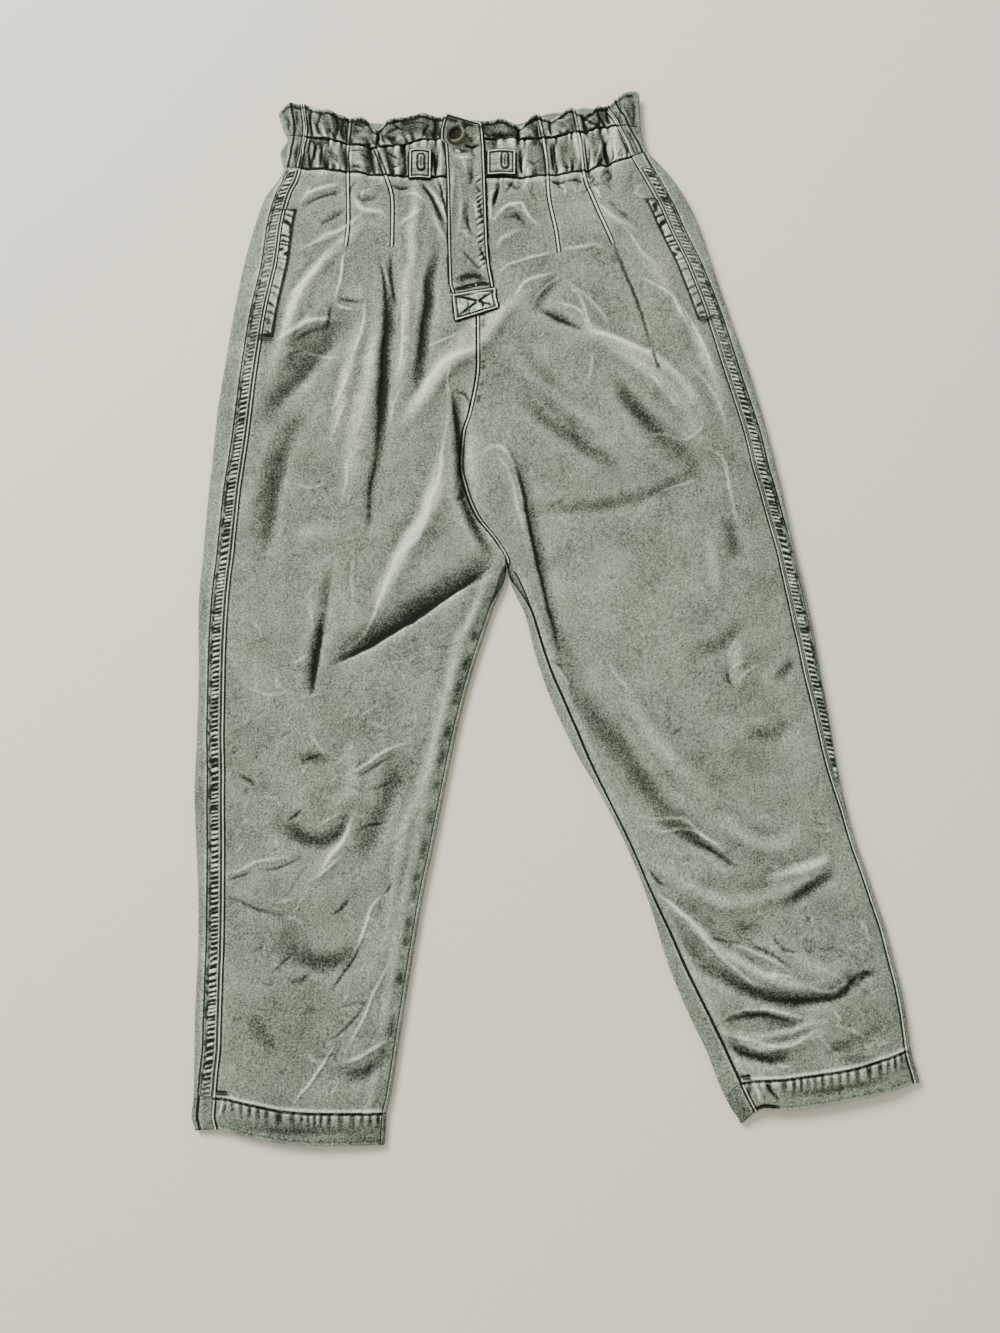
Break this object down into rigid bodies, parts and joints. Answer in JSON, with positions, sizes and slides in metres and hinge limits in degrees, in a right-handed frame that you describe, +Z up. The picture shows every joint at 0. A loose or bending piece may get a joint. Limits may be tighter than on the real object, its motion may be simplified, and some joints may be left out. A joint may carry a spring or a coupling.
{
  "type": "paperbag waist trousers",
  "caption": "Paperbag waist trousers of washed twill laid flat, with darts, a frilled elastic casing, a button fly, pocket edges and hem bands.",
  "frame": {"origin": "on the floor under the centre of the garment's bounding box", "axes": "+Y from the hems to the frill, +X to the wearer's left, +Z up from the floor"},
  "size_m": [0.6329, 0.9952, 0.0227],
  "materials": {
    "twill": "washed cotton twill, matt, mottled grey-green",
    "faded_twill": "the same twill, worn paler along its folded edges",
    "horn": "polished horn, dark centre and pale rim"
  },
  "bodies": {
    "root": {"front_left": "twill", "front_right": "twill", "back_left": "twill", "back_right": "twill", "hem_front_left": "twill", "hem_back_left": "twill", "hem_front_right": "twill", "hem_back_right": "twill", "casing_front_left": "twill", "casing_back_left": "twill", "casing_front_right": "twill", "casing_back_right": "twill", "frill_front_left": "twill", "frill_back_left": "twill", "frill_front_right": "twill", "frill_back_right": "twill", "fly_placket": "faded_twill", "fly_base_patch": "faded_twill", "buttonhole_tab_left": "twill", "buttonhole_tab_right": "twill", "outseam_strip_left": "faded_twill", "outseam_strip_right": "faded_twill", "pocket_edge_left": "faded_twill", "pocket_edge_right": "faded_twill", "waist_button": "horn"}
  },
  "joints": []
}
